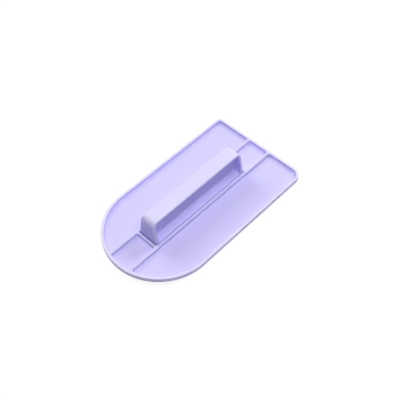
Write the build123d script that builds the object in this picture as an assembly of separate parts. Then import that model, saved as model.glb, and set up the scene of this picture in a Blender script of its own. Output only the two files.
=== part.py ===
from build123d import *
import os

# An icing smoother: a flat plate that is pushed over soft icing, with one rounded and one
# square end, and a grip that sits in a pocket between the ribs on its back. Of the two corners
# of the square end, the one on the minus Y side is the rounder.
# X runs along the plate towards its square end, Y across it and Z up from the smoothing
# face, which lies at zero. The origin is under the middle of the plate. All in millimetres.

# Smoothing plate, outside
plate_length = 150.0
plate_width = 85.3
rim_height = 4.1
floor_thickness = 1.5
rounder_corner_radius = 8.4
tighter_corner_radius = 4.2
smoothing_edge_radius = 0.8

# Rim and ribs, which all stand level
rim_width = 2.0
rib_width = 2.0
cross_rib_width = 1.6
wall_top_radius = 0.35

# Sunk panels between them, whose walls lean outwards by an angle in degrees
panel_corner_radius = 1.5
panel_foot_radius = 0.6
wall_draft_angle = 12

# Grip, outside
product_height = 24.0
grip_foot_length = 91.2
grip_top_length = 89.4
grip_foot_width = 17.5
grip_top_width = 11.8
grip_end_radius = 4.5
grip_edge_radius = 1.0

# Grip, finger recess on each long side
foot_flange_thickness = 2.6
top_bar_thickness = 1.9
web_thickness = 3.2
end_wall_foot_thickness = 3.1
end_wall_top_thickness = 1.8
recess_upper_corner_radius = 3.0
recess_lower_corner_radius = 2.4
recess_web_fillet = 1.0
recess_lip_radius = 0.45

# Seat of the grip in its pocket, which has upright walls, and how far the middle of both lies
# from the middle of the plate, towards the square end
grip_shift = 0.55
side_clearance = 0.2
end_clearance = 0.4
pocket_corner_radius = 1.0
pocket_foot_radius = 0.15
peg_diameter = 5.0
peg_height = 1.4
peg_spacing = 60.0
peg_clearance = 0.15
peg_top_clearance = 0.4
peg_edge_radius = 0.3

# Extra reach of every cutting solid past the face that it cuts, and the greatest distance at
# which the end of an edge counts as lying on such a solid
overrun = 2.0
touching_distance = 0.01

# Places that follow from the sizes above
grip_height = product_height - floor_thickness
rib_inner_face = grip_foot_width / 2 + side_clearance
rib_offset = rib_inner_face + rib_width / 2
rib_outer_face = rib_inner_face + rib_width
pocket_length = grip_foot_length + 2 * end_clearance


def d_outline(inset):
    """Outline of the plate, drawn in by an inset: half round at one end, square at the other."""
    half_width = plate_width / 2 - inset
    round_centre = plate_width / 2 - plate_length / 2
    straight = plate_length / 2 - inset - round_centre
    with BuildSketch() as outline:
        with Locations((round_centre, 0)):
            Circle(half_width)
        with Locations((round_centre + straight / 2, 0)):
            Rectangle(straight, 2 * half_width)
        for side, radius in ((0, rounder_corner_radius), (-1, tighter_corner_radius)):
            corner = outline.vertices().group_by(Axis.X)[-1].sort_by(Axis.Y)[side]
            fillet(corner, radius - inset)
    return outline.sketch


def panel_outlines():
    """The sunk panels between the rim, the two long ribs and the walls round the pocket."""
    with BuildSketch() as panels:
        add(d_outline(rim_width))
        with Locations((0, -rib_offset), (0, rib_offset)):
            Rectangle(plate_length, rib_width, mode=Mode.SUBTRACT)
        with Locations((grip_shift, 0)):
            Rectangle(pocket_length + 2 * cross_rib_width, 2 * rib_offset, mode=Mode.SUBTRACT)
        at_ribs = panels.vertices().filter_by_position(Axis.Y, -rib_outer_face, rib_outer_face)
        fillet(at_ribs, panel_corner_radius)
    return panels.sketch


def pocket_outline():
    """The pocket that takes the foot of the grip, between the long ribs and the cross ribs."""
    with BuildSketch() as pocket:
        with Locations((grip_shift, 0)):
            Rectangle(pocket_length, 2 * rib_inner_face)
        fillet(pocket.vertices(), pocket_corner_radius)
    return pocket.sketch


def sunk(outlines, draft_angle, foot_radius):
    """Cutting solids from the top of the rim down to the floor, with rounded feet."""
    with BuildPart() as cutter:
        with BuildSketch(Plane.XY.offset(rim_height)):
            add(outlines)
        extrude(amount=floor_thickness - rim_height, taper=draft_angle)
        fillet(cutter.edges().group_by(Axis.Z)[0], foot_radius)
    return cutter.part


def smoothing_plate():
    """The plate with its rim, ribs and locating pegs, as one moulding."""
    with BuildPart() as plate:
        add(d_outline(0))
        extrude(amount=rim_height)
        add(sunk(panel_outlines(), wall_draft_angle, panel_foot_radius), mode=Mode.SUBTRACT)
        add(sunk(pocket_outline(), 0, pocket_foot_radius), mode=Mode.SUBTRACT)
        fillet(plate.edges().filter_by_position(Axis.Z, rim_height, rim_height), wall_top_radius)
        fillet(plate.edges().group_by(Axis.Z)[0], smoothing_edge_radius)
        with BuildSketch(Plane.XY.offset(floor_thickness)):
            with Locations((grip_shift - peg_spacing / 2, 0), (grip_shift + peg_spacing / 2, 0)):
                Circle(peg_diameter / 2)
        extrude(amount=peg_height)
        peg_top = floor_thickness + peg_height
        fillet(plate.edges().filter_by_position(Axis.Z, peg_top, peg_top), peg_edge_radius)
    return plate.part


def half_length_at(height):
    """Half the length of the grip at a height, before its ends roll over."""
    narrowing = (grip_foot_length - grip_top_length) / 2
    return grip_foot_length / 2 - narrowing * (height - floor_thickness) / grip_height


def tapered_outline(foot, top):
    """Outline that narrows from the foot of the grip to its top, with its height along Y."""
    with BuildSketch() as outline:
        with BuildLine():
            Polyline(
                (-foot / 2, floor_thickness),
                (foot / 2, floor_thickness),
                (top / 2, product_height),
                (-top / 2, product_height),
                close=True,
            )
        make_face()
    return outline.sketch


def clear_of_floor(edge):
    """True for an edge that doesn't lie on the floor of the plate."""
    return edge.center().Z > floor_thickness + overrun


def grip_block():
    """Outside of the grip: it narrows upwards and its ends roll over into the flat top."""
    with BuildPart() as block:
        with BuildSketch(Plane.XZ) as side_view:
            add(tapered_outline(grip_foot_length, grip_top_length))
            fillet(side_view.vertices().group_by(Axis.Y)[-1], grip_end_radius)
        extrude(amount=(grip_foot_width + grip_top_width) / 2, both=True)
        with BuildSketch(Plane.YZ):
            add(tapered_outline(grip_foot_width, grip_top_width))
        reach = (grip_foot_length + grip_top_length) / 2
        extrude(amount=reach, both=True, mode=Mode.INTERSECT)
        by_side = block.faces().sort_by(Axis.Y)
        around_sides = by_side[0].edges() + by_side[-1].edges()
        fillet(around_sides.filter_by(clear_of_floor), grip_edge_radius)
    return block.part


def finger_recess():
    """Cutting solid for the recess on the side that faces minus Y."""
    low = floor_thickness + foot_flange_thickness
    high = product_height - top_bar_thickness
    low_reach = half_length_at(low) - end_wall_foot_thickness
    high_reach = half_length_at(high) - end_wall_top_thickness
    depth = grip_foot_width / 2 - web_thickness / 2 + overrun
    with BuildPart() as recess:
        with BuildSketch(Plane.XZ.offset(web_thickness / 2)):
            with BuildLine():
                Polyline(
                    (-low_reach, low),
                    (low_reach, low),
                    (high_reach, high),
                    (-high_reach, high),
                    close=True,
                )
            opening = make_face()
            upper = opening.vertices().group_by(Axis.Y)[-1]
            lower = opening.vertices().group_by(Axis.Y)[0]
            fillet(upper, recess_upper_corner_radius)
            fillet(lower, recess_lower_corner_radius)
        extrude(amount=depth)
        fillet(recess.faces().sort_by(Axis.Y)[-1].edges(), recess_web_fillet)
    return recess.part


def opens_on_side(edge, cutter):
    """True for an edge along which a cutting solid leaves the side of the grip."""
    ends = (edge @ 0, edge @ 1)
    past_web = min(abs(end.Y) for end in ends) > (web_thickness + grip_top_width) / 4
    on_cutter = max(cutter.distance_to(end) for end in ends) < touching_distance
    return past_web and on_cutter


def grip():
    """The grip with a finger recess on both sides and two blind sockets under its foot.

    It is made about the middle of the plate and then shifted to the middle of its pocket."""
    near_recess = finger_recess()
    with BuildPart() as handle:
        add(grip_block())
        for recess in (near_recess, mirror(near_recess, Plane.XZ)):
            add(recess, mode=Mode.SUBTRACT)
            lip = [edge for edge in handle.edges() if opens_on_side(edge, recess)]
            fillet(lip, recess_lip_radius)
        with BuildSketch(Plane.XY.offset(floor_thickness)):
            with Locations((-peg_spacing / 2, 0), (peg_spacing / 2, 0)):
                Circle(peg_diameter / 2 + peg_clearance)
        extrude(amount=peg_height + peg_top_clearance, mode=Mode.SUBTRACT)
    return handle.part.moved(Location((grip_shift, 0, 0)))


os.makedirs("parts", exist_ok=True)
export_step(smoothing_plate(), "parts/smoothing_plate.step")
export_step(grip(), "parts/grip.step")
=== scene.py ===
from math import cos, radians, sin

import bpy
from bpy.props import FloatProperty, FloatVectorProperty, PointerProperty
from mathutils import Matrix, Vector


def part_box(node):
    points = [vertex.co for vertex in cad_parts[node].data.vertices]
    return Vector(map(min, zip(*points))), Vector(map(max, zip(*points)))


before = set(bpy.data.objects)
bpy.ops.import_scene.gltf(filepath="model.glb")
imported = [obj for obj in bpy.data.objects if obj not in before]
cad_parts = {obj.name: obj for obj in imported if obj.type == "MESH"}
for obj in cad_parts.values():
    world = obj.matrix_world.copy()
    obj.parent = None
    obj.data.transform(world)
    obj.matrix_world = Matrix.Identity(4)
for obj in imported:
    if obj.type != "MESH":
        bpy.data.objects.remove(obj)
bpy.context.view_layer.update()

# An icing smoother in pale lilac plastic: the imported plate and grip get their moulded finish,
# and a floor, soft lights and a camera are set round them. All lengths are in metres.

bl_info = {
    "name": "Icing smoother",
    "version": (1, 0, 0),
    "blender": (4, 5, 0),
    "location": "3D View > Sidebar > Icing Smoother",
    "description": "Finishes the plate and grip of an icing smoother and sets its stage",
    "category": "Object",
}

PLATE_LOW, PLATE_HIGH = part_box("smoothing_plate")
GRIP_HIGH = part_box("grip")[1]

# Where the rim lies on the plate: the radii of the two corners of its square end, on the minus Y
# and the plus Y side, and how far in from the edge it reaches
ROUNDER_CORNER = 0.0084
TIGHTER_CORNER = 0.0042
RIM_WIDTH = 0.0026

# Pigment: how much the flow streaks are drawn out along X, Y and Z, how strong they are beside
# the cloudy patches, and the noise values between which each of the two fades in
STREAK_STRETCH = (0.06, 1.0, 0.5)
STREAK_STRENGTH = 0.35
PATCH_CONTRAST = (0.3, 0.75)
STREAK_CONTRAST = (0.35, 0.8)

# Scuffs: the directions of rubbing, how closely the scuffs follow each other along X, Y and Z,
# the noise values between which a scuff fades in, and how deep it cuts beside the grain
RUBBING_DIRECTIONS = (radians(24), radians(-38), radians(81))
SCUFFS_PER_METRE = (70.0, 2600.0, 900.0)
SCUFF_CONTRAST = (0.7, 0.78)
SCUFF_CUT = 0.5

# Sheen: how far the grain changes the roughness, the patches that roughen it with wear, and how
# far rubbing polishes the rim
GRAIN_IN_SHEEN = 0.06
WEAR_PATCHES_PER_METRE = 55.0
WEAR_CONTRAST = (0.35, 0.7)
RIM_POLISH = 0.6

# Marks of use, a rubbing polish and a painted highlight that pales the tops: the patches that
# break them up, the least that is left of the marks between them, the shares of the height of
# the plate and the grip above which they start, and the upward part of the surface normal
# between which a face counts as facing down or up
USE_PATCHES_PER_METRE = 75.0
USE_CONTRAST = (0.3, 0.7)
LEAST_USE = 0.75
RIM_START = 0.82
HELD_START = 0.85
FACES_DOWN = (-0.5, -0.95)
FACES_UP = (0.2, 0.9)

# Floor: grey of the board that reflects light, and the grey and glow of the floor that is seen
BOARD_GREY = (0.8, 0.8, 0.8, 1)
SHADOW_GREY = (0.3, 0.3, 0.3, 1)
FLOOR_GLOW = 0.75

# Distance between the columns and rows of shader nodes in the node editor, so that the trees
# can be read
COLUMN = 220
ROW = 180

# Sockets of a Mix node for each kind of data: its first and second input and its output
MIX_SOCKETS = {"FLOAT": (2, 3, 0), "RGBA": (6, 7, 2)}


class SmootherPlastic(bpy.types.PropertyGroup):
    plate_colour: FloatVectorProperty(
        name="Plate colour",
        description="Colour of the plastic of the smoothing plate",
        subtype="COLOR", min=0, max=1,
        default=(0.64, 0.6, 0.96),
    )
    grip_colour: FloatVectorProperty(
        name="Grip colour",
        description="Colour of the plastic of the grip",
        subtype="COLOR", min=0, max=1,
        default=(0.64, 0.6, 0.985),
    )
    deep_colour: FloatVectorProperty(
        name="Deep colour",
        description="Colour that the plastic drifts towards where its pigment is denser",
        subtype="COLOR", min=0, max=1,
        default=(0.57, 0.53, 0.985),
    )
    # Painted highlight: a paler colour laid on the rim, rib and grip tops, with some rubbing wear
    painted_highlight_colour: FloatVectorProperty(
        name="Painted highlight colour",
        description="Paler colour of edges that have rubbed against other things",
        subtype="COLOR", min=0, max=1,
        default=(0.86, 0.84, 0.97),
    )
    # Shares of the painted highlight colour on the rim, ribs and grip top, which also set how far
    # rubbing polishes them
    rim_highlight_and_wear: FloatProperty(
        name="Rim highlight and wear",
        description="How far the top of the rim turns to the rubbed colour",
        default=0.6, min=0, max=1, subtype="FACTOR",
    )
    rib_highlight_and_wear: FloatProperty(
        name="Rib highlight and wear",
        description="How far the tops of the ribs turn to the rubbed colour",
        default=0.15, min=0, max=1, subtype="FACTOR",
    )
    grip_highlight_and_wear: FloatProperty(
        name="Grip highlight and wear",
        description="How far the top of the grip turns to the rubbed colour",
        default=0.45, min=0, max=1, subtype="FACTOR",
    )
    pigment_patch_size: FloatProperty(
        name="Pigment patch size",
        description="Width of the faint cloudy patches in the pigment",
        default=0.034, unit="LENGTH",
    )
    pigment_strength: FloatProperty(
        name="Pigment strength",
        description="How far the cloudy patches drift towards the deep colour",
        default=0.22, min=0, max=1, subtype="FACTOR",
    )
    flow_line_width: FloatProperty(
        name="Flow line width",
        description="Width of the streaks that the melt leaves along the mould",
        default=0.0042, unit="LENGTH",
    )
    grain_size: FloatProperty(
        name="Grain size",
        description="Width of the grains of the satin mould texture",
        default=0.00034, unit="LENGTH",
    )
    grain_depth: FloatProperty(
        name="Grain depth",
        description="Height of the satin mould texture",
        default=0.000012, unit="LENGTH", precision=6,
    )
    satin_roughness: FloatProperty(
        name="Satin roughness",
        description="Roughness of the satin surfaces",
        default=0.4, min=0, max=1, subtype="FACTOR",
    )
    polished_roughness: FloatProperty(
        name="Polished roughness",
        description="Roughness of the smoothing face and of edges that hands have polished",
        default=0.16, min=0, max=1, subtype="FACTOR",
    )
    scuff_strength: FloatProperty(
        name="Scuff strength",
        description="How much the fine scuffs roughen the plastic",
        default=0.12, min=0, max=1, subtype="FACTOR",
    )


class SmootherStage(bpy.types.PropertyGroup):
    floor_size: FloatProperty(
        name="Floor size",
        description="Length of each side of the floor",
        default=6.0, unit="LENGTH",
    )
    floor_gap: FloatProperty(
        name="Floor gap",
        description="Air that keeps the floor from touching the smoothing face",
        default=0.00005, unit="LENGTH", precision=5,
    )
    shadow_reach: FloatProperty(
        name="Shadow reach",
        description="Distance from the smoother past which the floor fades to plain white",
        default=0.25, unit="LENGTH",
    )
    softbox_distance: FloatProperty(
        name="Softbox distance",
        description="Distance from each soft light to the middle of the smoother",
        default=1.2, unit="LENGTH",
    )
    softbox_size: FloatProperty(
        name="Softbox size",
        description="Length of each side of the soft lights",
        default=0.6, unit="LENGTH",
    )
    near_side_power: FloatProperty(
        name="Near side power",
        description="Power of the high soft light on the side that the camera sees",
        default=8.0, min=0, unit="POWER",
    )
    far_side_power: FloatProperty(
        name="Far side power",
        description="Power of the soft light on the side that faces away from the camera",
        default=5.75, min=0, unit="POWER",
    )
    square_end_power: FloatProperty(
        name="Square end power",
        description="Power of the soft light past the square end",
        default=6.25, min=0, unit="POWER",
    )
    camera_target: FloatVectorProperty(
        name="Camera target",
        description="Point that the camera looks at",
        subtype="XYZ", unit="LENGTH", precision=5,
        default=(0.006508, -0.001141, 0.0),
    )
    camera_distance: FloatProperty(
        name="Camera distance",
        description="Distance from the camera to its target",
        default=0.52333, unit="LENGTH",
    )
    camera_azimuth: FloatProperty(
        name="Camera azimuth",
        description="Angle of the camera round the smoother",
        default=radians(-44.618), subtype="ANGLE",
    )
    camera_elevation: FloatProperty(
        name="Camera elevation",
        description="Angle of the camera above the floor",
        default=radians(52.794), subtype="ANGLE",
    )
    camera_roll: FloatProperty(
        name="Camera roll",
        description="Turn of the camera about its own axis",
        default=radians(-1.904), subtype="ANGLE",
    )
    camera_lens: FloatProperty(
        name="Camera lens",
        description="Focal length of the lens",
        default=63.87, unit="CAMERA",
    )


class NodeBench:
    """Places and joins the nodes of one shader tree."""

    def __init__(self, tree):
        self.tree = tree

    def node(self, kind, place, label="", inputs=None, **settings):
        """Adds a node at a column and row, with its settings and unlinked input values."""
        made = self.tree.nodes.new(kind)
        made.location = (place[0] * COLUMN, -place[1] * ROW)
        made.label = label
        for name, value in settings.items():
            setattr(made, name, value)
        for name, value in (inputs or {}).items():
            self.feed(made.inputs[name], value)
        return made

    def feed(self, socket, value):
        """Links an output to an input socket, or sets the socket's own value."""
        if isinstance(value, bpy.types.NodeSocket):
            self.tree.links.new(value, socket)
        else:
            socket.default_value = value

    def math(self, operation, place, label, *values):
        """A Math node on up to three values. Returns its output."""
        made = self.node("ShaderNodeMath", place, label, operation=operation)
        for position, value in enumerate(values):
            self.feed(made.inputs[position], value)
        return made.outputs["Value"]

    def fade(self, place, label, value, low, high):
        """Smooth step from 0 at a low value to 1 at a high one. Returns its output."""
        made = self.node(
            "ShaderNodeMapRange", place, label, interpolation_type="SMOOTHSTEP",
            inputs={"Value": value, "From Min": low, "From Max": high},
        )
        return made.outputs["Result"]

    def blend(self, place, label, share, first, second, kind="RGBA"):
        """A Mix node between two colours or two values. Returns its output."""
        made = self.node("ShaderNodeMix", place, label, data_type=kind)
        first_socket, second_socket, result = MIX_SOCKETS[kind]
        self.feed(made.inputs[0], share)
        self.feed(made.inputs[first_socket], first)
        self.feed(made.inputs[second_socket], second)
        return made.outputs[result]

    def noise(self, place, label, vector, scale, detail, roughness=0.5):
        """A Noise Texture. Returns its factor output."""
        made = self.node(
            "ShaderNodeTexNoise", place, label,
            inputs={"Vector": vector, "Scale": scale, "Detail": detail, "Roughness": roughness},
        )
        return made.outputs["Fac"]


def new_group(name, inputs, outputs):
    """An empty shader node group with named sockets, and the bench for filling it."""
    tree = bpy.data.node_groups.new(name, "ShaderNodeTree")
    for label, (kind, value) in inputs.items():
        socket = tree.interface.new_socket(label, in_out="INPUT", socket_type=kind)
        socket.default_value = value
    for label, kind in outputs.items():
        tree.interface.new_socket(label, in_out="OUTPUT", socket_type=kind)
    return tree, NodeBench(tree)


def pigment_group():
    """Cloudy patches and faint flow streaks in the pigment of a moulded plastic, and a painted
    highlight that turns rubbed parts paler.
    """
    name = "Moulded Pigment"
    if name in bpy.data.node_groups:
        return bpy.data.node_groups[name]
    tree, bench = new_group(
        name,
        inputs={
            "Colour": ("NodeSocketColor", (1, 1, 1, 1)),
            "Deep Colour": ("NodeSocketColor", (1, 1, 1, 1)),
            "Patch Size": ("NodeSocketFloat", 0.03),
            "Flow Line Width": ("NodeSocketFloat", 0.004),
            "Strength": ("NodeSocketFloat", 0.2),
            "Painted Highlight Colour": ("NodeSocketColor", (1, 1, 1, 1)),
            "Rubbing And Painted Highlight": ("NodeSocketFloat", 0.0),
        },
        outputs={"Colour": "NodeSocketColor"},
    )
    given = bench.node("NodeGroupInput", (-5, 0)).outputs
    where = bench.node("ShaderNodeTexCoord", (-5, 3)).outputs["Object"]
    patch_scale = bench.math("DIVIDE", (-4, 0), "Patches per metre", 1, given["Patch Size"])
    patches = bench.noise(
        (-3, 0), "Pigment patches", where, patch_scale, detail=2.5, roughness=0.55
    )
    line_scale = bench.math("DIVIDE", (-4, 2), "Streaks per metre", 1, given["Flow Line Width"])
    stretched = bench.node(
        "ShaderNodeVectorMath", (-4, 3), "Streaks run along the mould", operation="MULTIPLY",
        inputs={0: where, 1: STREAK_STRETCH},
    ).outputs["Vector"]
    streaks = bench.noise(
        (-3, 2), "Flow streaks", stretched, line_scale, detail=2.0, roughness=0.6
    )
    patch_share = bench.fade((-2, 0), "Patch contrast", patches, *PATCH_CONTRAST)
    streak_share = bench.fade((-2, 2), "Streak contrast", streaks, *STREAK_CONTRAST)
    faint_streaks = bench.math(
        "MULTIPLY", (-1, 2), "Faint streaks", streak_share, STREAK_STRENGTH
    )
    drift = bench.math("ADD", (-1, 1), "Drift", patch_share, faint_streaks)
    share = bench.math("MULTIPLY", (0, 1), "Drift strength", drift, given["Strength"])
    colour = bench.blend((1, 0), "Pigment", share, given["Colour"], given["Deep Colour"])
    # Painted highlight: the rubbed parts are mixed towards the paler colour
    rubbing_and_highlight = bench.blend((2, 0), "Painted highlight on edges", given["Rubbing And Painted Highlight"], colour, given["Painted Highlight Colour"])
    bench.node("NodeGroupOutput", (3, 0), inputs={"Colour": rubbing_and_highlight})
    return tree


def satin_group():
    """Satin mould grain with fine scuffs, smoother where the plastic is polished."""
    name = "Satin Skin"
    if name in bpy.data.node_groups:
        return bpy.data.node_groups[name]
    tree, bench = new_group(
        name,
        inputs={
            "Satin Roughness": ("NodeSocketFloat", 0.4),
            "Polished Roughness": ("NodeSocketFloat", 0.15),
            "Polish": ("NodeSocketFloat", 0.0),
            "Grain Size": ("NodeSocketFloat", 0.0003),
            "Scuff Strength": ("NodeSocketFloat", 0.1),
        },
        outputs={"Roughness": "NodeSocketFloat", "Height": "NodeSocketFloat"},
    )
    given = bench.node("NodeGroupInput", (-5, 0)).outputs
    where = bench.node("ShaderNodeTexCoord", (-5, 3)).outputs["Object"]
    grain_scale = bench.math("DIVIDE", (-4, 0), "Grains per metre", 1, given["Grain Size"])
    grain = bench.noise((-3, 0), "Mould grain", where, grain_scale, detail=1.5)
    scuff_heights = []
    for row, turn in enumerate(RUBBING_DIRECTIONS, start=2):
        turned = bench.node(
            "ShaderNodeVectorRotate", (-4, row), "Direction of rubbing",
            rotation_type="Z_AXIS", inputs={"Vector": where, "Angle": turn},
        ).outputs["Vector"]
        drawn_out = bench.node(
            "ShaderNodeVectorMath", (-3, row), "Scuffs are long and thin",
            operation="MULTIPLY", inputs={0: turned, 1: SCUFFS_PER_METRE},
        ).outputs["Vector"]
        lines = bench.noise((-2, row), "Scuffs", drawn_out, 1.0, detail=1.0)
        scuff_heights.append(bench.fade((-1, row), "Only the deepest", lines, *SCUFF_CONTRAST))
    scuffs = bench.math("MAXIMUM", (0, 2), "All scuffs", scuff_heights[0], scuff_heights[1])
    scuffs = bench.math("MAXIMUM", (1, 2), "All scuffs", scuffs, scuff_heights[2])
    wear = bench.noise(
        (-2, 1), "Patches of wear", where, WEAR_PATCHES_PER_METRE, detail=3.0, roughness=0.6
    )
    wear_share = bench.fade((-1, 1), "Wear contrast", wear, *WEAR_CONTRAST)
    wear_and_sheen = bench.math("MULTIPLY", (0, 1), "Wear strength", wear_share, given["Scuff Strength"])
    skin = bench.blend(
        (1, 0), "Satin or polished", given["Polish"],
        given["Satin Roughness"], given["Polished Roughness"], kind="FLOAT",
    )
    grainy = bench.math(
        "MULTIPLY_ADD", (1, 1), "Grain in the sheen", grain, GRAIN_IN_SHEEN, skin
    )
    patchy = bench.math("ADD", (2, 0), "Worn sheen", grainy, wear_and_sheen)
    scuffed = bench.math(
        "MULTIPLY_ADD", (2, 1), "Scuffed sheen", scuffs, given["Scuff Strength"], patchy
    )
    satin_share = bench.math("SUBTRACT", (0, 0), "Grain is only on satin", 1, given["Polish"])
    raised = bench.math("MULTIPLY", (2, 2), "Grain height", grain, satin_share)
    height = bench.math("MULTIPLY_ADD", (3, 2), "Scuffs cut in", scuffs, -SCUFF_CUT, raised)
    bench.node("NodeGroupOutput", (4, 0), inputs={"Roughness": scuffed, "Height": height})
    return tree


def plastic_material(name, colour, contact):
    """Moulded plastic. A function adds the nodes for its polish and for its rubbed edges, which
    are painted paler as a highlight.
    """
    plastic = bpy.context.scene.smoother_plastic
    made = bpy.data.materials.new(name)
    made.use_nodes = True
    made.node_tree.nodes.clear()
    bench = NodeBench(made.node_tree)
    polish, rubbing_and_highlight = contact(bench, plastic)
    pigment = bench.node(
        "ShaderNodeGroup", (0, 0), "Pigment", node_tree=pigment_group(),
        inputs={
            "Colour": (*colour, 1),
            "Deep Colour": (*plastic.deep_colour, 1),
            "Patch Size": plastic.pigment_patch_size,
            "Flow Line Width": plastic.flow_line_width,
            "Strength": plastic.pigment_strength,
            "Painted Highlight Colour": (*plastic.painted_highlight_colour, 1),
            "Rubbing And Painted Highlight": rubbing_and_highlight,
        },
    )
    skin = bench.node(
        "ShaderNodeGroup", (0, 2), "Skin", node_tree=satin_group(),
        inputs={
            "Satin Roughness": plastic.satin_roughness,
            "Polished Roughness": plastic.polished_roughness,
            "Polish": polish,
            "Grain Size": plastic.grain_size,
            "Scuff Strength": plastic.scuff_strength,
        },
    )
    relief = bench.node(
        "ShaderNodeBump", (1, 2), "Mould texture",
        inputs={"Distance": plastic.grain_depth, "Height": skin.outputs["Height"]},
    )
    shader = bench.node(
        "ShaderNodeBsdfPrincipled", (2, 0), "Plastic",
        inputs={
            "Base Color": pigment.outputs["Colour"],
            "Roughness": skin.outputs["Roughness"],
            "Normal": relief.outputs["Normal"],
            "IOR": 1.49,
            "Subsurface Weight": 0.12,
            "Subsurface Radius": (0.8, 0.7, 1.0),
            "Subsurface Scale": 0.0015,
        },
    )
    bench.node("ShaderNodeOutputMaterial", (3, 0), inputs={"Surface": shader.outputs["BSDF"]})
    return made


def surface_place(bench):
    """Height of the surface above the floor, how far it faces up, and its position."""
    surface = bench.node("ShaderNodeNewGeometry", (-6, 2), "Surface").outputs
    facing = bench.node("ShaderNodeSeparateXYZ", (-5, 2), inputs={0: surface["Normal"]}).outputs
    place = bench.node("ShaderNodeSeparateXYZ", (-5, 3), inputs={0: surface["Position"]}).outputs
    return place["Z"], facing["Z"], surface["Position"]


def uneven_patches(bench, row, place):
    """Soft patches, from most of the way up to 1, that break up the marks of use."""
    patches = bench.noise((-5, row), "Patches", place, USE_PATCHES_PER_METRE, detail=2.0)
    low, high = USE_CONTRAST
    return bench.node(
        "ShaderNodeMapRange", (-4, row), "Uneven use",
        inputs={"Value": patches, "From Min": low, "From Max": high, "To Min": LEAST_USE},
    ).outputs["Result"]


def plate_contact(bench, plastic):
    """The face below is polished, and rim and ribs are rubbed where they knock on things, with
    their tops polished and painted paler as a highlight.
    """
    height, facing_up, place = surface_place(bench)
    below = bench.fade((-4, 2), "Faces down", facing_up, *FACES_DOWN)
    level = bench.fade(
        (-4, 3), "On the level tops", height, PLATE_HIGH.z * RIM_START, PLATE_HIGH.z
    )
    # Share of the painted highlight, with rubbing wear, on the rim and on the ribs
    wear = bench.blend(
        (-3, 4), "Rim or rib", rim_share(bench, place),
        plastic.rib_highlight_and_wear, plastic.rim_highlight_and_wear, kind="FLOAT",
    )
    wear_and_sheen = bench.math("MULTIPLY", (-2, 4), "Worn", level, wear)
    # Painted highlight and polish of rubbing on the tops, broken into patches
    rubbing_and_highlight = bench.math("MULTIPLY", (-1, 4), "Rubbing And Painted Highlight", wear_and_sheen, uneven_patches(bench, 7, place))
    sheen = bench.math("MULTIPLY", (-1, 3), "Sheen of rubbing", rubbing_and_highlight, RIM_POLISH)
    return bench.math("MAXIMUM", (-1, 2), "Polish", below, sheen), rubbing_and_highlight


def rim_share(bench, place):
    """1 on the rim and 0 on the panels, from how far inside the plate's outline a point is."""
    spot = bench.node("ShaderNodeSeparateXYZ", (-11, 4), inputs={0: place}).outputs
    round_centre = PLATE_LOW.x + PLATE_HIGH.y
    past_centre = bench.math(
        "SUBTRACT", (-10, 7), "Past the round centre", spot["X"], round_centre
    )
    round_x = bench.math("MINIMUM", (-9, 7), "Only at the round end", past_centre, 0)
    round_depth = edge_depth(bench, 7, round_x, spot["Y"], PLATE_HIGH.y)
    on_tighter_side = bench.math("GREATER_THAN", (-10, 5), "On the plus Y side", spot["Y"], 0)
    corner = bench.blend(
        (-9, 5), "Radius of the corner", on_tighter_side,
        ROUNDER_CORNER, TIGHTER_CORNER, kind="FLOAT",
    )
    across = bench.math("ABSOLUTE", (-10, 4), "Across", spot["Y"])
    corner_x = past_corner(bench, 3, spot["X"], corner, PLATE_HIGH.x)
    corner_y = past_corner(bench, 4, across, corner, PLATE_HIGH.y)
    square_depth = edge_depth(bench, 4, corner_x, corner_y, corner)
    depth = bench.math("MAXIMUM", (-4, 5), "From the edge", round_depth, square_depth)
    return bench.fade((-3, 5), "Rim", depth, -RIM_WIDTH, -RIM_WIDTH / 2)


def past_corner(bench, row, value, radius, edge):
    """How far a value lies past the centre of a corner's rounding, or 0 before it."""
    turned = bench.math("ADD", (-8, row), "From the edge, plus the radius", value, radius)
    past = bench.math("SUBTRACT", (-7, row), "Past the centre of the corner", turned, edge)
    return bench.math("MAXIMUM", (-6, row), "Not before it", past, 0)


def edge_depth(bench, row, along, across, radius):
    """Distance from an outline of the given radius, below zero inside it."""
    flat = bench.node(
        "ShaderNodeCombineXYZ", (-6, row + 1), inputs={"X": along, "Y": across}
    ).outputs["Vector"]
    reach = bench.node(
        "ShaderNodeVectorMath", (-5, row + 1), "From the centre",
        operation="LENGTH", inputs={0: flat},
    ).outputs["Value"]
    return bench.math("SUBTRACT", (-5, row), "From the outline", reach, radius)


def grip_contact(bench, plastic):
    """Hands polish the top of the grip, and the top is painted a little paler as a highlight."""
    height, facing_up, place = surface_place(bench)
    held = bench.fade((-4, 3), "Where it is held", height, GRIP_HIGH.z * HELD_START, GRIP_HIGH.z)
    level = bench.fade((-4, 2), "Faces up", facing_up, *FACES_UP)
    top = bench.math("MULTIPLY", (-3, 2), "Top of the grip", held, level)
    # Polish of holding, and the share of the painted highlight on the top
    wear_and_sheen = bench.math("MULTIPLY", (-2, 2), "Worn", top, plastic.grip_highlight_and_wear)
    rubbing_and_highlight = bench.math("MULTIPLY", (-1, 4), "Rubbing And Painted Highlight", wear_and_sheen, uneven_patches(bench, 4, place))
    return wear_and_sheen, rubbing_and_highlight


def dress(node, material):
    """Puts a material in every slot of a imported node."""
    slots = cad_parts[node].data.materials
    slots.clear()
    slots.append(material)


class SMOOTHER_OT_finish_plate(bpy.types.Operator):
    """Give the smoothing plate its satin back and its polished face below"""

    bl_idname = "smoother.finish_plate"
    bl_label = "Finish the plate"

    def execute(self, context):
        plastic = context.scene.smoother_plastic
        material = plastic_material("Plate Plastic", plastic.plate_colour, plate_contact)
        dress("smoothing_plate", material)
        return {"FINISHED"}


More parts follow.
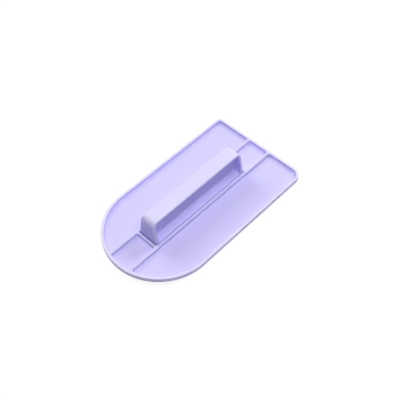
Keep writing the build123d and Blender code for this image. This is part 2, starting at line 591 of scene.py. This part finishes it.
class SMOOTHER_OT_finish_grip(bpy.types.Operator):
    """Give the grip its satin plastic, a little polished where it is held"""

    bl_idname = "smoother.finish_grip"
    bl_label = "Finish the grip"

    def execute(self, context):
        plastic = context.scene.smoother_plastic
        material = plastic_material("Grip Plastic", plastic.grip_colour, grip_contact)
        dress("grip", material)
        return {"FINISHED"}


def shown_rays(bench):
    """1 for rays that show a surface to the camera, straight, mirrored or through glass."""
    ray = bench.node("ShaderNodeLightPath", (0, 0)).outputs
    seen = bench.math(
        "MAXIMUM", (1, 0), "Seen or mirrored", ray["Is Camera Ray"], ray["Is Glossy Ray"]
    )
    return bench.math("MAXIMUM", (2, 0), "Shown", seen, ray["Is Transmission Ray"])


def floor_material(stage):
    """White for the camera, with the soft shadow of the smoother kept round it."""
    made = bpy.data.materials.new("Pale Floor")
    made.use_nodes = True
    made.node_tree.nodes.clear()
    bench = NodeBench(made.node_tree)
    plain = bench.node("ShaderNodeBsdfDiffuse", (5, 1), "Board", inputs={"Color": BOARD_GREY})
    shaded = bench.node("ShaderNodeBsdfDiffuse", (3, 2), "Shadow", inputs={"Color": SHADOW_GREY})
    glow = bench.node("ShaderNodeEmission", (3, 3), "Glow", inputs={"Strength": FLOOR_GLOW})
    lit = bench.node("ShaderNodeAddShader", (4, 2))
    bench.feed(lit.inputs[0], shaded.outputs[0])
    bench.feed(lit.inputs[1], glow.outputs[0])
    place = bench.node("ShaderNodeNewGeometry", (1, 4)).outputs["Position"]
    reach = bench.node(
        "ShaderNodeVectorMath", (2, 4), "From the smoother",
        operation="LENGTH", inputs={0: place},
    ).outputs["Value"]
    away = bench.fade((3, 4), "Past the shadow", reach, stage.shadow_reach, stage.shadow_reach * 2)
    white = bench.node("ShaderNodeEmission", (4, 3), "White", inputs={"Strength": 1.0})
    round_it = bench.node("ShaderNodeMixShader", (5, 2), "Seen floor", inputs={"Fac": away})
    bench.feed(round_it.inputs[1], lit.outputs[0])
    bench.feed(round_it.inputs[2], white.outputs[0])
    surface = bench.node("ShaderNodeMixShader", (6, 0), inputs={"Fac": shown_rays(bench)})
    bench.feed(surface.inputs[1], plain.outputs[0])
    bench.feed(surface.inputs[2], round_it.outputs[0])
    bench.node("ShaderNodeOutputMaterial", (7, 0), inputs={"Surface": surface.outputs[0]})
    return made


def make_floor(stage):
    """A level square that the smoother lies on."""
    half = stage.floor_size / 2
    square = ((-half, -half), (half, -half), (half, half), (-half, half))
    corners = [(x, y, -stage.floor_gap) for x, y in square]
    mesh = bpy.data.meshes.new("floor")
    mesh.from_pydata(corners, [], [(0, 1, 2, 3)])
    mesh.materials.append(floor_material(stage))
    floor = bpy.data.objects.new("floor", mesh)
    bpy.context.scene.collection.objects.link(floor)


def make_room():
    """A white room that lends no light of its own, but that the camera and the gloss see."""
    world = bpy.data.worlds.new("Room")
    world.use_nodes = True
    world.node_tree.nodes.clear()
    bench = NodeBench(world.node_tree)
    white = bench.node(
        "ShaderNodeBackground", (3, 0), "White",
        inputs={"Color": (1, 1, 1, 1), "Strength": shown_rays(bench)},
    )
    bench.node("ShaderNodeOutputWorld", (4, 0), inputs={"Surface": white.outputs[0]})
    bpy.context.scene.world = world


def make_softboxes(stage):
    """Square soft lights that point at the middle of the smoother."""
    for name, azimuth, elevation, power in (
        ("Near side softbox", 250, 72, stage.near_side_power),
        ("Far side softbox", 90, 40, stage.far_side_power),
        ("Square end softbox", 0, 40, stage.square_end_power),
    ):
        lamp = bpy.data.lights.new(name, "AREA")
        lamp.size = stage.softbox_size
        lamp.energy = power
        turn, climb = radians(azimuth), radians(elevation)
        outward = Vector((cos(turn) * cos(climb), sin(turn) * cos(climb), sin(climb)))
        box = bpy.data.objects.new(name, lamp)
        box.location = outward * stage.softbox_distance
        box.rotation_euler = (-outward).to_track_quat("-Z", "Y").to_euler()
        bpy.context.scene.collection.objects.link(box)


def make_camera(stage):
    """The camera at the photograph's viewing angle."""
    azimuth, elevation = stage.camera_azimuth, stage.camera_elevation
    back = Vector((sin(azimuth) * cos(elevation), -cos(azimuth) * cos(elevation), sin(elevation)))
    right = (-back).cross(Vector((0, 0, 1))).normalized()
    up = right.cross(-back)
    turned_right = right * cos(stage.camera_roll) + up * sin(stage.camera_roll)
    turned_up = up * cos(stage.camera_roll) - right * sin(stage.camera_roll)
    data = bpy.data.cameras.new("Camera")
    data.lens = stage.camera_lens
    camera = bpy.data.objects.new("Camera", data)
    axes = Matrix((turned_right, turned_up, back)).transposed().to_4x4()
    place = Vector(stage.camera_target) + back * stage.camera_distance
    camera.matrix_world = Matrix.Translation(place) @ axes
    bpy.context.scene.collection.objects.link(camera)
    bpy.context.scene.camera = camera


class SMOOTHER_OT_set_stage(bpy.types.Operator):
    """Set the floor, the soft lights and the camera round the smoother"""

    bl_idname = "smoother.set_stage"
    bl_label = "Set the stage"

    def execute(self, context):
        stage = context.scene.smoother_stage
        make_floor(stage)
        make_room()
        make_softboxes(stage)
        make_camera(stage)
        context.scene.view_settings.view_transform = "Standard"
        return {"FINISHED"}


class SMOOTHER_PT_panel(bpy.types.Panel):
    """Steps and settings of the icing smoother"""

    bl_idname = "SMOOTHER_PT_panel"
    bl_label = "Icing Smoother"
    bl_space_type = "VIEW_3D"
    bl_region_type = "UI"
    bl_category = "Icing Smoother"

    def draw(self, context):
        layout = self.layout
        for step in STEPS:
            layout.operator(step.bl_idname)
        for settings in (context.scene.smoother_plastic, context.scene.smoother_stage):
            box = layout.box()
            for name in settings.__annotations__:
                box.prop(settings, name)


STEPS = (SMOOTHER_OT_finish_plate, SMOOTHER_OT_finish_grip, SMOOTHER_OT_set_stage)
CLASSES = (SmootherPlastic, SmootherStage, *STEPS, SMOOTHER_PT_panel)


def register():
    for listed in CLASSES:
        bpy.utils.register_class(listed)
    bpy.types.Scene.smoother_plastic = PointerProperty(type=SmootherPlastic)
    bpy.types.Scene.smoother_stage = PointerProperty(type=SmootherStage)


def unregister():
    del bpy.types.Scene.smoother_stage
    del bpy.types.Scene.smoother_plastic
    for listed in reversed(CLASSES):
        bpy.utils.unregister_class(listed)


def main():
    register()
    bpy.ops.smoother.finish_plate()
    bpy.ops.smoother.finish_grip()
    bpy.ops.smoother.set_stage()


if __name__ == "__main__":
    main()
